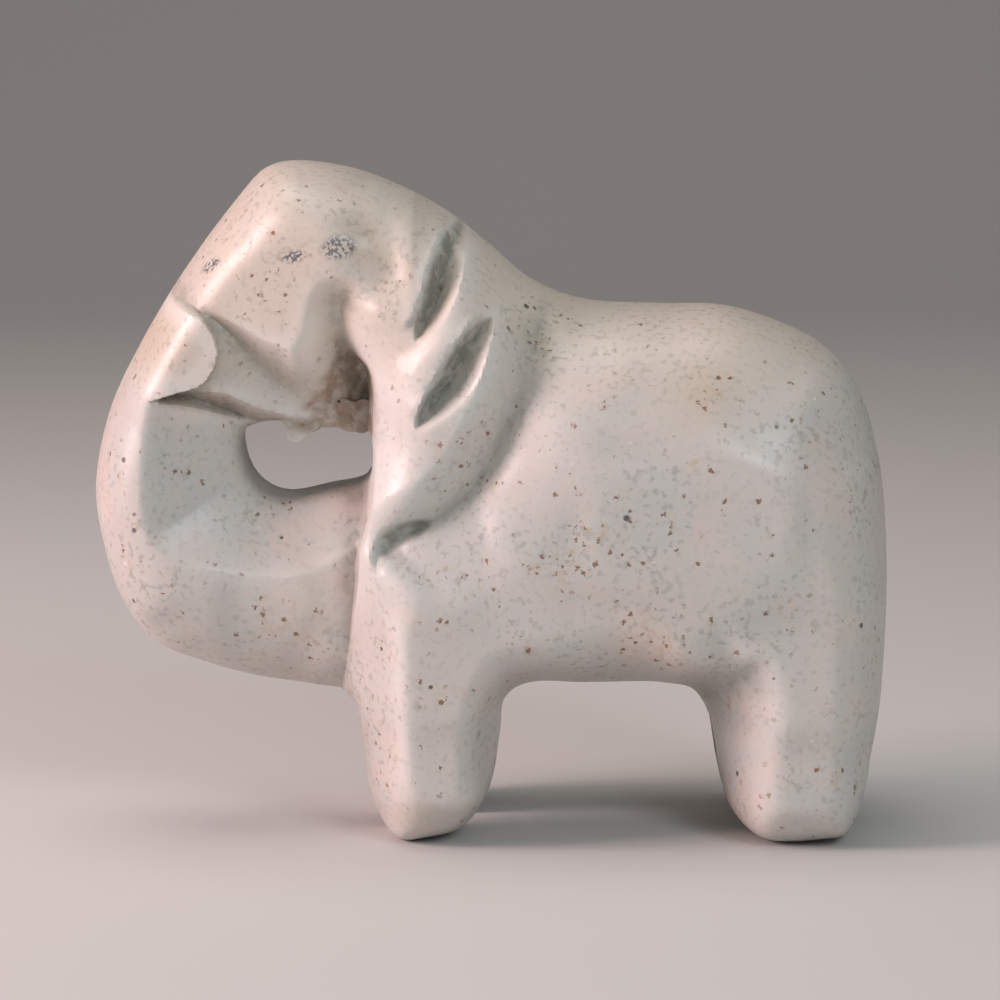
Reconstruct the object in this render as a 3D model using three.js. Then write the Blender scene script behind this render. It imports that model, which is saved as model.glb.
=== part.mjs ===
// Small soapstone elephant, carved as one piece of stone and standing on its own four feet.
// Millimetres, +Z up. The elephant looks along -X, and y = 0 is its plane of symmetry.
//
// The carver cuts the animal's outline from a flat block and then works in from its two wide
// faces, so the form is held here in the same way: as two reliefs, one of head and trunk and one
// of ear, body and legs. A relief says how thick half of the stone is at a place of the side
// view, and how broadly it is rounded off towards the outline. A closed surface is drawn around
// the two of them, with the hole in the trunk and the gap between the legs cut through.
import * as THREE from 'three';

// ---- driving dimensions -------------------------------------------------------------------
const LEG_GAP = 5.0; // clear width between a left and a right foot at the ground
const LEG_GAP_TAPER = 0.08; // how much the inner face of a leg leans in, mm per mm of height
const LEG_GAP_TOP = 9.6; // height of the arched top of the gap
const SOLE_HEIGHT = 0; // the four soles are cut flat at this height
const BLEND = 0.3; // width over which two neighbouring surfaces run into each other
const HOLE_EDGE = 0.5; // softness of the rim of the hole in the trunk
const SOLE_REACH = 0.25; // points this close above the soles are put on them
const EXACT_RIM = { from: 0.6, to: 2.2 }; // depths between which the edge distance is smoothed

// Side outline, from the crown over the back, down the hind leg, under the belly, around the
// foreleg and up the trunk to the forehead.
const OUTLINE = [
  [-14.0, 49.1], [-10.2, 48.6], [-6.7, 47.3], [-3.2, 45.4], [0.0, 42.9], [3.0, 40.4],
  [7.0, 38.9], [12.0, 38.6], [17.0, 38.5], [21.2, 37.3], [24.6, 35.4], [27.0, 32.4],
  [28.4, 27.8], [29.0, 22.6], [29.1, 16.6], [28.7, 9.6], [27.8, 4.4], [26.4, 0.6],
  [24.0, -0.2], [20.0, -0.2], [17.7, 1.6], [16.8, 4.6], [16.1, 8.2], [14.6, 10.4],
  [11.5, 10.9], [7.5, 10.9], [3.2, 11.0], [1.1, 9.8], [0.7, 7.0], [0.0, 3.4],
  [-1.8, 0.7], [-4.4, -0.15], [-7.1, -0.15], [-8.8, 2.4], [-9.5, 6.2], [-10.3, 9.7],
  [-13.0, 10.4], [-17.0, 11.0], [-21.0, 12.1], [-24.6, 13.6], [-27.0, 16.4], [-28.5, 20.6],
  [-29.1, 25.4], [-28.1, 30.6], [-26.1, 35.0], [-23.5, 39.5], [-20.8, 43.5], [-18.2, 46.8],
  [-16.4, 48.6],
];

// Hole between the curled trunk, the mouth and the chest, from its upper left corner.
const HOLE = [
  [-18.2, 29.3], [-16.6, 30.2], [-14.2, 30.3], [-11.6, 30.3], [-9.0, 29.9], [-8.5, 27.8],
  [-9.2, 25.8], [-11.8, 25.1], [-14.8, 24.5], [-16.8, 25.2], [-18.0, 26.9],
];

// Half thickness of the stone: x, z, millimetres.
const HEAD_THICKNESS = [
  [-10.5, 43.5, 9.8], [-13, 48, 9.6], [-18, 44, 9.1], [-13.3, 40, 9.3], [-9, 40, 9.7],
  [-6, 45, 10.6], [-23, 37, 8.3], [-27, 27, 7.8], [-23, 17, 7.7], [-16, 17, 7.3],
  [-11, 14, 6.9], [-10, 20, 6.9],
];
const BODY_THICKNESS = [
  [-13, 46, 9.8], [-9, 42, 9.9], [-4, 43, 11.2], [1, 40, 11.6], [-6, 38, 11.2],
  [-3, 35, 12.0], [-3, 30, 12.3], [-3, 22, 12.5], [3, 24, 13.0], [10, 24, 13.4],
  [18, 24, 13.3], [26, 24, 12.8], [22, 33, 12.6], [10, 33, 12.8], [-3, 12, 12.3],
  [-3, 6, 12.0], [-3, 0, 10.8], [22, 12, 12.6], [22, 5, 12.2], [22, 0, 11.4], [8, 14, 12.8],
];

// Radius of the rounding towards the outline: x, z, millimetres.
const HEAD_ROUNDING = [
  [-12, 49, 5.5], [-15.5, 48.5, 4.8], [-18, 47, 4.2], [-22, 42, 3.6], [-26, 36, 3.6],
  [-29, 27, 4.2], [-28, 18, 5.0], [-23, 12, 7.5], [-16, 11, 8.0], [-11, 10.5, 6.0],
  [-3, 45.5, 6.0],
];
const BODY_ROUNDING = [
  [-12, 49, 5.5], [-10.2, 10.5, 1.6], [-9.5, 5, 1.6], [-8, 0, 2.6], [-3, 0, 3.2],
  [0, 3, 2.8], [1, 8, 3.6], [4, 11, 5.5], [10, 11, 7.0], [15, 10.5, 4], [16.5, 5, 2.0],
  [18, 0, 2.6], [24, 0, 2.8], [27.5, 2.5, 3.4], [28.5, 8, 4.6], [29, 15, 5.0], [29, 24, 6.0],
  [27, 32, 9], [20, 38, 11.5], [10, 38.6, 11.5], [3, 40.5, 8.0], [-3, 45.5, 6.0],
];

// Mouth hollow: up the rear edge of the trunk, back along the lower edge of the flat cheek,
// over the arch in front of the ear, and closed below, where the scoop takes over.
const TRUNK_REAR = [
  [-24.1, 32.2], [-22.5, 32.7], [-20.8, 33.3], [-19.8, 34.6], [-19.6, 36.1], [-20.3, 37.6],
  [-21.9, 39.5],
];
const CHEEK_EDGE = [[-21.9, 39.5], [-20.3, 38.7], [-18.3, 37.8], [-16.3, 36.7], [-14.4, 36.0]];
const ARCH = [
  [-14.4, 36.0], [-13.7, 37.6], [-13.3, 39.6], [-12.3, 41.0], [-10.6, 41.6], [-9.0, 41.0],
  [-7.8, 39.2], [-5.0, 37.8], [-3.0, 35.5],
];
const HOLLOW_FOOT = [[-3, 20], [-27, 20], [-27, 31.6]];
// Lower lip of the hollow, and the crease under it, where the scoop of the trunk begins: x, z.
const LIP = [
  [-26, 32.0], [-24, 32.2], [-22.5, 32.6], [-21, 32.7], [-19.2, 32.6], [-17.6, 31.8],
  [-16, 31.2], [-8, 31.0],
];
const MOUTH_LINE = [[-26, 32.2], [-24.2, 32], [-22, 31.7], [-19.3, 30.9], [-17.6, 30.4], [-8, 30.4]];
// Limit of the flat cheek below, just inside the hollow: x, z.
const CHEEK_LIMIT = [
  [-30, 43], [-22.2, 39.3], [-20.3, 38.3], [-18.3, 37.4], [-16.3, 36.3], [-14.4, 35.6], [-10, 33],
];
// Crest of the scoop, down the inside of the trunk and around to the chest.
const CREST = [
  [-24.6, 32.5], [-25.0, 30.5], [-25.2, 28.0], [-25.2, 25.0], [-24.9, 22.4], [-23.2, 20.8],
  [-20.5, 20.0], [-17.0, 19.4], [-13.5, 19.6], [-10.5, 21.0], [-8.0, 23.0],
];
// Crease between the ear and the body, and the two leaf-shaped cuts in the ear.
const CREASE = [
  [4.2, 41.4], [3.8, 38.6], [3.2, 36.0], [2.3, 33.0], [0.8, 29.8], [-1.0, 26.6],
  [-3.4, 24.3], [-6.0, 22.7], [-8.3, 20.2],
];
const UPPER_LEAF = [[-2.0, 45.2], [-2.6, 43.6], [-3.2, 41.6], [-4.1, 39.0], [-5.3, 36.8]];
const LOWER_LEAF = [[0.1, 38.4], [-1.3, 36.6], [-2.2, 34.9], [-3.2, 33.3], [-5.3, 30.6]];
// Front corner of ear and foreleg: height, its x, steepness of the face before it, the x where
// that face turns inwards above the trunk, and how much steeper it is from there.
const ARRIS = [
  [0, -6.2, 1.4, -11, 6], [8, -6.2, 1.4, -10.8, 6], [9.5, -6.3, 1.35, -10.6, 6],
  [15, -6.4, 1.3, -10.1, 6], [19, -6.8, 1.3, -9.5, 6], [21.5, -7.4, 1.35, -9.2, 6],
  [23.5, -7.4, 1.4, -8.6, 6], [25.5, -6.9, 1.4, -8.4, 6], [27, -6.4, 1.35, -8.3, 6],
  [30, -5.7, 1.25, -8.2, 6], [33, -6.0, 1.25, -8.2, 6], [34.3, -6.1, 1.2, -8.5, 6],
  [35.3, -6.2, 1.05, -9.0, 4], [36.2, -6.3, 0.9, -9.3, 2], [37.2, -6.4, 0.75, -9.6, 0.9],
  [38.5, -6.0, 0.55, -9.9, 0.5], [40, -5.2, 0.42, -10.2, 0.3], [43, -4.6, 0.3, -11, 0],
  [50, -4.5, 0.25, -12, 0],
];

// ---- slopes and softness of the cuts, in mm per mm and in mm -----------------------------------
// Flat cheek: a plane with this half thickness at (x, z), rising rearward and upward.
const CHEEK = { x: -18, z: 43.2, half: 8.0, rearward: 0.26, upward: 0.09 };
const CHEEK_SOFTNESS = 0.25; // softness of the cheek's edges
const CHEEK_RELEASE = 3; // how fast the plane leaves the stone below its limit
// Walls of the mouth hollow: steepness beside the trunk, under the cheek and beside the ear, the
// softness of their upper edge, and the x between which they change.
const HOLLOW_WALL = { trunk: 1.6, cheek: 1.0, ear: 1.9, crisp: 0.05, soft: 2.5 };
const WALL_CHANGES = { fromTrunk: -21, toCheek: -19, fromCheek: -15, toEar: -12.8 };
const HOLLOW_FLOOR = { x: -22, half: 7.2, rearward: -0.33, soft: 0.4, softer: 2 };
const LIP_SLOPE = 1.5; // fall of the head below the lip
// Scoop of the trunk: half thickness at the hole, roundness of the sweep up to the crest, and
// slope and upper limit of its end at the mouth line.
const SCOOP = { half: 3.4, sweep: 0.75, endSlope: 2.5, top: 34 };
const NO_STONE_LIMIT = 99; // larger than any half thickness
// The head ends in front of the ear, and further back where the ear grows out of it.
const HEAD_REAR = { x: -8.6, steep: 1.8, shift: 3.0, from: 35.5, to: 38.5 };
const CROWN = { from: 37, to: 42 }; // heights between which head and body grow together
const NECK = { from: -12.5, to: -3.5 }; // x between which the crown passes from head to body
// Soft valley in front of the ear: its softness, and the heights and x between which it fades.
const EAR_ROOT = { softness: 2.2, low: 35.5, high: 38, front: -15, full: -11, fade: -6, end: -3 };
// Softness of the front corner: of the leg, and what the ear and the foot add to it.
const ARRIS_SOFTNESS = { leg: 0.8, ear: 1.7, earLow: 15, earHigh: 19, foot: 1.5, low: 1, high: 6 };
const TURN = { crisp: 0.01, soft: 1.0, low: 34.5, high: 36.5 }; // end of the face before the ear
// Squareness of the rounded edges of legs and body, and what the feet add to it.
const FULLNESS = { body: 2.2, feet: 0.6, low: 2, high: 6 };
// Facet on the front of the hind leg: half thickness at the shin line, slope, its upper end, and
// the x before which it fades out under the belly.
const SHIN = { x: 19.4, bulge: 1.0, low: 11, high: 15, half: 12.5, steep: 0.95 };
const KNEE = { x: 19.5, z: 15.1, across: -0.66, up: 0.75, margin: 1.2, steep: 1.5, ease: 1.0 };
const GROIN = { x: 18, rise: 0.12, from: 16, to: 18.5, soft: 3.5, shinSoft: 0.8 };
// Crease behind the ear: depth, reach on the ear and on the body, and shape of both slopes.
const CREASE_CUT = { deep: 2.3, onEar: 3.2, onBody: 6.5, ear: 1.25, body: 1.8, begin: 0.2, end: 0.9 };
// Leaf-shaped cuts: depth, slope of the front and of the rear wall.
const UPPER_CUT = { deep: 2.2, front: 1.65, rear: 1.75 };
const LOWER_CUT = { deep: 2.1, front: 1.6, rear: 1.35 };
const LEAF_FULLNESS = 0.6; // below 1 a cut keeps its depth further towards its points
const LEAF_SOFTNESS = 0.2;

// ---- small helpers ------------------------------------------------------------------------
const { clamp, smoothstep, lerp } = THREE.MathUtils;

// Minimum and maximum of two surfaces with a soft transition of width k.
function softMin(a, b, k) {
  const near = Math.max(k - Math.abs(a - b), 0) / k;
  return Math.min(a, b) - (near * near * k) / 4;
}
function softMax(a, b, k) {
  return -softMin(-a, -b, k);
}

// 0 up to the edge, then a soft start and a straight rise.
function easeIn(distance, softness) {
  const inside = Math.max(distance, 0);
  return (inside * inside) / (inside + softness);
}

// Smooth curve through the given points, as a polyline.
function smoothLine(points, closed = false, steps = 8) {
  const vectors = points.map(([x, z]) => new THREE.Vector3(x, 0, z));
  const curve = new THREE.CatmullRomCurve3(vectors, closed, 'catmullrom', 0.5);
  const spans = closed ? points.length : points.length - 1;
  const line = [];
  for (let i = 0; i < spans * steps + (closed ? 0 : 1); i += 1) {
    const p = curve.getPoint(i / (spans * steps));
    line.push([p.x, p.z]);
  }
  return line;
}

// Nearest point of a polyline: distance, share of the length up to it, and side of the line
// (positive to the left when the line is followed downwards).
function nearestOn(line, x, z, closed = false) {
  const spans = closed ? line.length : line.length - 1;
  let distance = Infinity;
  let along = 0;
  let side = 1;
  let length = 0;
  for (let i = 0; i < spans; i += 1) {
    const [ax, az] = line[i];
    const [bx, bz] = line[(i + 1) % line.length];
    const ex = bx - ax;
    const ez = bz - az;
    const span = Math.hypot(ex, ez);
    const t = clamp(((x - ax) * ex + (z - az) * ez) / (span * span), 0, 1);
    const d = Math.hypot(x - ax - t * ex, z - az - t * ez);
    if (d < distance - 1e-9) {
      distance = d;
      along = length + t * span;
      side = Math.sign((x - ax) * ez - (z - az) * ex);
    }
    length += span;
  }
  return { distance, along: along / length, side };
}

function isInside(line, x, z) {
  let inside = false;
  for (let i = 0; i < line.length; i += 1) {
    const [ax, az] = line[i];
    const [bx, bz] = line[(i + 1) % line.length];
    if (az > z !== bz > z && x < ((bx - ax) * (z - az)) / (bz - az) + ax) inside = !inside;
  }
  return inside;
}

// Distance inside a closed line, negative outside.
function depthInside(line, x, z) {
  const { distance } = nearestOn(line, x, z, true);
  return isInside(line, x, z) ? distance : -distance;
}

// Distance from a closed line with its inner ridges smoothed, from the eighth power of
// closeness summed along the line.
const STRAIGHT_EDGE = 0.9817; // the same sum for a straight edge at distance 1
function smoothDistance(line, x, z) {
  let closeness = 0;
  for (let i = 0; i < line.length; i += 1) {
    const [ax, az] = line[i];
    const [bx, bz] = line[(i + 1) % line.length];
    const square = ((ax + bx) / 2 - x) ** 2 + ((az + bz) / 2 - z) ** 2;
    closeness += Math.hypot(bx - ax, bz - az) / (square + 0.001) ** 4;
  }
  return (closeness / STRAIGHT_EDGE) ** (-1 / 7);
}

// Mean of the stations' values, weighted by closeness.
function spread(stations, x, z) {
  let weights = 0;
  let sum = 0;
  for (const [sx, sz, value] of stations) {
    const weight = ((x - sx) ** 2 + (z - sz) ** 2 + 2) ** -2.5;
    weights += weight;
    sum += weight * value;
  }
  return sum / weights;
}

// Smooth curve through the rows of a table, read in one of its columns.
function readTable(rows, at, column = 1) {
  const last = rows.length - 1;
  const tangent = (i) => {
    if (i === 0 || i === last) {
      const j = i === 0 ? 0 : last - 1;
      return (rows[j + 1][column] - rows[j][column]) / (rows[j + 1][0] - rows[j][0]);
    }
    const before = rows[i][0] - rows[i - 1][0];
    const after = rows[i + 1][0] - rows[i][0];
    const rise = (rows[i + 1][column] - rows[i][column]) / after;
    const fall = (rows[i][column] - rows[i - 1][column]) / before;
    return (rise * before + fall * after) / (before + after);
  };
  let i = 0;
  while (i < last - 1 && rows[i + 1][0] <= at) i += 1;
  const h = rows[i + 1][0] - rows[i][0];
  const u = clamp((at - rows[i][0]) / h, 0, 1);
  const v = 1 - u;
  const ends = rows[i][column] * (1 + 2 * u) * v * v + rows[i + 1][column] * u * u * (3 - 2 * u);
  return ends + h * u * v * (tangent(i) * v - tangent(i + 1) * u);
}

// Straight lines through the rows of a table.
function readStraight(rows, at) {
  let i = 0;
  while (i < rows.length - 2 && rows[i + 1][0] <= at) i += 1;
  const share = clamp((at - rows[i][0]) / (rows[i + 1][0] - rows[i][0]), 0, 1);
  return lerp(rows[i][1], rows[i + 1][1], share);
}

// ---- the carving, seen from the side -------------------------------------------------------
const outline = smoothLine(OUTLINE, true, 6);
const hole = smoothLine(HOLE, true, 5);
const crest = smoothLine(CREST);
const crease = smoothLine(CREASE);
const upperLeaf = smoothLine(UPPER_LEAF);
const lowerLeaf = smoothLine(LOWER_LEAF);
const hollow = [
  ...smoothLine(TRUNK_REAR).slice(0, -1),
  ...smoothLine(CHEEK_EDGE).slice(0, -1),
  ...smoothLine(ARCH),
  ...HOLLOW_FOOT,
];

// Half thickness of head and trunk.
function headRelief(x, z, fromHole) {
  const stone = spread(HEAD_THICKNESS, x, z);
  const cheek = CHEEK.half + CHEEK.rearward * (x - CHEEK.x) + CHEEK.upward * (z - CHEEK.z);
  const underCheek = Math.max(readStraight(CHEEK_LIMIT, x) - z, 0);
  const skin = softMin(stone, cheek + CHEEK_RELEASE * underCheek, CHEEK_SOFTNESS);
  let upper = skin;
  const inHollow = depthInside(hollow, x, z);
  if (inHollow > 0) {
    const alongCheek = smoothstep(x, WALL_CHANGES.fromTrunk, WALL_CHANGES.toCheek);
    const towardsEar = smoothstep(x, WALL_CHANGES.fromCheek, WALL_CHANGES.toEar);
    const rim = softMin(stone, cheek, CHEEK_SOFTNESS);
    const steepness = lerp(lerp(HOLLOW_WALL.trunk, HOLLOW_WALL.cheek, alongCheek),
      HOLLOW_WALL.ear, towardsEar);
    const softness = lerp(HOLLOW_WALL.crisp, HOLLOW_WALL.soft, towardsEar);
    const wall = rim - steepness * easeIn(inHollow, softness);
    const floor = HOLLOW_FLOOR.half + HOLLOW_FLOOR.rearward * (x - HOLLOW_FLOOR.x);
    const foot = HOLLOW_FLOOR.soft + HOLLOW_FLOOR.softer * towardsEar;
    upper = Math.min(softMax(wall, Math.min(floor, rim), foot), rim);
  }
  upper -= LIP_SLOPE * Math.max(readTable(LIP, x) - z, 0);
  // the scoop that runs down to the hole from the inside of the trunk
  const toCrest = nearestOn(crest, x, z);
  const share = Math.max(fromHole, 0) / (Math.max(fromHole, 0) + toCrest.distance);
  let scoop = SCOOP.half + (stone - SCOOP.half) * share ** SCOOP.sweep;
  if (toCrest.side > 0) scoop = NO_STONE_LIMIT;
  scoop -= SCOOP.endSlope * Math.max(z - readTable(MOUTH_LINE, x), 0);
  const carved = z > SCOOP.top ? upper : Math.max(upper, scoop);
  const rear = HEAD_REAR.x + HEAD_REAR.shift * smoothstep(z, HEAD_REAR.from, HEAD_REAR.to);
  return Math.min(skin, carved) - HEAD_REAR.steep * Math.max(x - rear, 0);
}

// Half thickness of ear, neck, body and legs.
function bodyRelief(x, z) {
  const stone = spread(BODY_THICKNESS, x, z);
  // the face in front of ear and foreleg
  const face = stone - readTable(ARRIS, z, 2) * (readTable(ARRIS, z, 1) - x);
  const corner = ARRIS_SOFTNESS.leg
    + ARRIS_SOFTNESS.ear * smoothstep(z, ARRIS_SOFTNESS.earLow, ARRIS_SOFTNESS.earHigh)
    + ARRIS_SOFTNESS.foot * (1 - smoothstep(z, ARRIS_SOFTNESS.low, ARRIS_SOFTNESS.high));
  let surface = softMin(stone, face, corner);
  const turnSoftness = TURN.crisp + TURN.soft * smoothstep(z, TURN.low, TURN.high);
  surface -= readTable(ARRIS, z, 4) * easeIn(readTable(ARRIS, z, 3) - x, turnSoftness);
  // the facet on the front of the hind leg
  const shin = SHIN.x + SHIN.bulge * (1 - smoothstep(z, SHIN.low, SHIN.high));
  const above = KNEE.across * (x - KNEE.x) + KNEE.up * (z - KNEE.z) + KNEE.margin;
  const facet = SHIN.half - SHIN.steep * (shin - x) + KNEE.steep * easeIn(above, KNEE.ease)
    + GROIN.rise * Math.max(GROIN.x - x, 0) ** 2;
  const onShin = smoothstep(x, GROIN.from, GROIN.to);
  surface = softMin(surface, facet, lerp(GROIN.soft, GROIN.shinSoft, onShin));
  // the crease behind the ear: short on the ear's side, a long slope on the body's
  const groove = nearestOn(crease, x, z);
  const fade = smoothstep(groove.along, 0, CREASE_CUT.begin)
    * (1 - smoothstep(groove.along, CREASE_CUT.end, 1));
  const onEar = clamp(1 - groove.distance / CREASE_CUT.onEar, 0, 1);
  const onBody = clamp(1 - groove.distance / CREASE_CUT.onBody, 0, 1);
  const profile = groove.side < 0 ? onBody ** CREASE_CUT.body : onEar ** CREASE_CUT.ear;
  surface -= CREASE_CUT.deep * fade * profile;
  surface = leafCut(surface, nearestOn(upperLeaf, x, z), UPPER_CUT);
  return leafCut(surface, nearestOn(lowerLeaf, x, z), LOWER_CUT);
}

// A cut with a slanted wall on either side, deepest at half its length and ending in points.
function leafCut(surface, groove, cut) {
  const depth = cut.deep * Math.sin(Math.PI * clamp(groove.along, 0, 1)) ** LEAF_FULLNESS;
  const rise = groove.distance * (groove.side > 0 ? cut.front : cut.rear);
  return softMin(surface, surface - depth + rise, LEAF_SOFTNESS);
}

// Everything that depends on the side view alone.
function column(x, z) {
  const exact = depthInside(outline, x, z);
  const deeper = smoothstep(exact, EXACT_RIM.from, EXACT_RIM.to);
  const inward = exact < 0 ? exact : lerp(exact, smoothDistance(outline, x, z), deeper);
  const fromHole = -depthInside(hole, x, z);
  return {
    inward,
    fromHole,
    head: headRelief(x, z, fromHole),
    headRound: spread(HEAD_ROUNDING, x, z),
    body: bodyRelief(x, z),
    bodyRound: spread(BODY_ROUNDING, x, z),
    crown: smoothstep(z, CROWN.from, CROWN.to),
    rearward: smoothstep(x, NECK.from, NECK.to),
    fullness: FULLNESS.body + FULLNESS.feet * (1 - smoothstep(z, FULLNESS.low, FULLNESS.high)),
    blend: BLEND + EAR_ROOT.softness * smoothstep(z, EAR_ROOT.low, EAR_ROOT.high)
      * smoothstep(x, EAR_ROOT.front, EAR_ROOT.full)
      * (1 - smoothstep(x, EAR_ROOT.fade, EAR_ROOT.end)),
  };
}

// Relief rounded off towards the outline, as an ellipse or, with more fullness, as a squarer
// curve: negative inside the stone.
function shell(half, round, inward, y, fullness) {
  const thick = Math.max(half, 0.05);
  const aside = Math.abs(y) / thick;
  const outward = Math.max(round - inward, 0) / round;
  return ((aside ** fullness + outward ** fullness) ** (1 / fullness) - 1) * thick;
}

// The whole elephant: negative inside the stone, positive outside.
function stone(c, y, z) {
  const head = shell(c.head, c.headRound, c.inward, y, 2);
  const body = shell(c.body, c.bodyRound, c.inward, y, c.fullness);
  const merged = lerp(softMin(head, body, c.blend), lerp(head, body, c.rearward), c.crown);
  const gap = LEG_GAP / 2 - LEG_GAP_TAPER * Math.max(z, 0);
  const legGap = gap - Math.hypot(y, Math.max(z - (LEG_GAP_TOP - gap), 0));
  const pierced = softMax(merged, -c.fromHole, HOLE_EDGE);
  return Math.max(softMax(pierced, legGap, BLEND), SOLE_HEIGHT - z);
}

// ---- closed surface around the stone -------------------------------------------------------
// Positions of the grid planes: from, to, and the size of a cell at a place.
function planes(from, to, cell) {
  const list = [from];
  while (list[list.length - 1] < to) list.push(list[list.length - 1] + cell(list[list.length - 1]));
  return list;
}

const acrossHalf = planes(1.2, 14.5, (y) => (y < 5 ? 2.1 : 1.2));
const GRID = {
  x: planes(-30, 30.5, (x) => (x < 4.5 ? 1.23 : 1.95)),
  y: [...acrossHalf.map((y) => -y).reverse(), ...acrossHalf],
  z: planes(-0.5, 50.5, (z) => (z < 2 ? 0.9 : (z < 18 ? 1.9 : 1.23))),
};

const HALVINGS = 7; // steps taken to find a crossing
const SLOPE_STEP = 0.08; // distance over which the facing direction is measured
const CELL_MARGIN = 0.04; // share of a cell kept free along its faces
const CENTRE_PULL = 0.06; // pull towards the middle of the crossings, for each crossing

// Where the surface crosses a grid edge, and the direction it faces there.
function crossing(a, b, valueA, valueB) {
  let [lo, hi, atLo, atHi] = [a, b, valueA, valueB];
  const p = new THREE.Vector3();
  for (let i = 0; i < HALVINGS; i += 1) {
    const t = i % 2 ? 0.5 : clamp(atLo / (atLo - atHi), 0.05, 0.95);
    p.lerpVectors(lo, hi, t);
    const value = stone(column(p.x, p.z), p.y, p.z);
    if (value < 0 === atLo < 0) [lo, atLo] = [p.clone(), value];
    else [hi, atHi] = [p.clone(), value];
  }
  p.lerpVectors(lo, hi, clamp(atLo / (atLo - atHi), 0, 1));
  const here = column(p.x, p.z);
  const step = SLOPE_STEP;
  const normal = new THREE.Vector3(
    stone(column(p.x + step, p.z), p.y, p.z) - stone(column(p.x - step, p.z), p.y, p.z),
    stone(here, p.y + step, p.z) - stone(here, p.y - step, p.z),
    stone(column(p.x, p.z + step), p.y, p.z + step)
      - stone(column(p.x, p.z - step), p.y, p.z - step),
  ).normalize();
  return { p, normal };
}

// The point of a cell that lies best on the planes of its crossings, kept inside the cell.
function bestPoint(hits, low, high) {
  const centre = new THREE.Vector3();
  for (const { p } of hits) centre.addScaledVector(p, 1 / hits.length);
  const pull = CENTRE_PULL * hits.length;
  const m = [pull, 0, 0, pull, 0, pull];
  const r = new THREE.Vector3();
  for (const { p, normal: n } of hits) {
    const off = n.dot(p) - n.dot(centre);
    m[0] += n.x * n.x;
    m[1] += n.x * n.y;
    m[2] += n.x * n.z;
    m[3] += n.y * n.y;
    m[4] += n.y * n.z;
    m[5] += n.z * n.z;
    r.addScaledVector(n, off);
  }
  const matrix = new THREE.Matrix3().set(m[0], m[1], m[2], m[1], m[3], m[4], m[2], m[4], m[5]);
  const point = r.applyMatrix3(matrix.invert()).add(centre);
  const margin = new THREE.Vector3().subVectors(high, low).multiplyScalar(CELL_MARGIN);
  point.clamp(low.clone().add(margin), high.clone().sub(margin));
  if (point.z < SOLE_HEIGHT + SOLE_REACH) point.z = SOLE_HEIGHT;
  return point;
}

// Crossings of a cell that belong together: two on one face of the cell join, and where a face
// has four, those join that leave the same inner corner.
function sheetsOf(inCell, cell) {
  const sheets = inCell.map((hit) => new Set([hit]));
  const join = (first, second) => {
    const [a, b] = [first, second].map((hit) => sheets.find((sheet) => sheet.has(hit)));
    if (a === b) return;
    for (const hit of b) a.add(hit);
    sheets.splice(sheets.indexOf(b), 1);
  };
  for (let axis = 0; axis < 3; axis += 1) {
    for (const plane of [cell[axis], cell[axis] + 1]) {
      const onFace = inCell.filter((hit) => hit.axis !== axis && hit.start[axis] === plane);
      for (const first of onFace) {
        for (const second of onFace) {
          if (onFace.length === 2 || first.inner === second.inner) join(first, second);
        }
      }
    }
  }
  return sheets;
}

const STEPS = [[1, 0, 0], [0, 1, 0], [0, 0, 1]];

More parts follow.
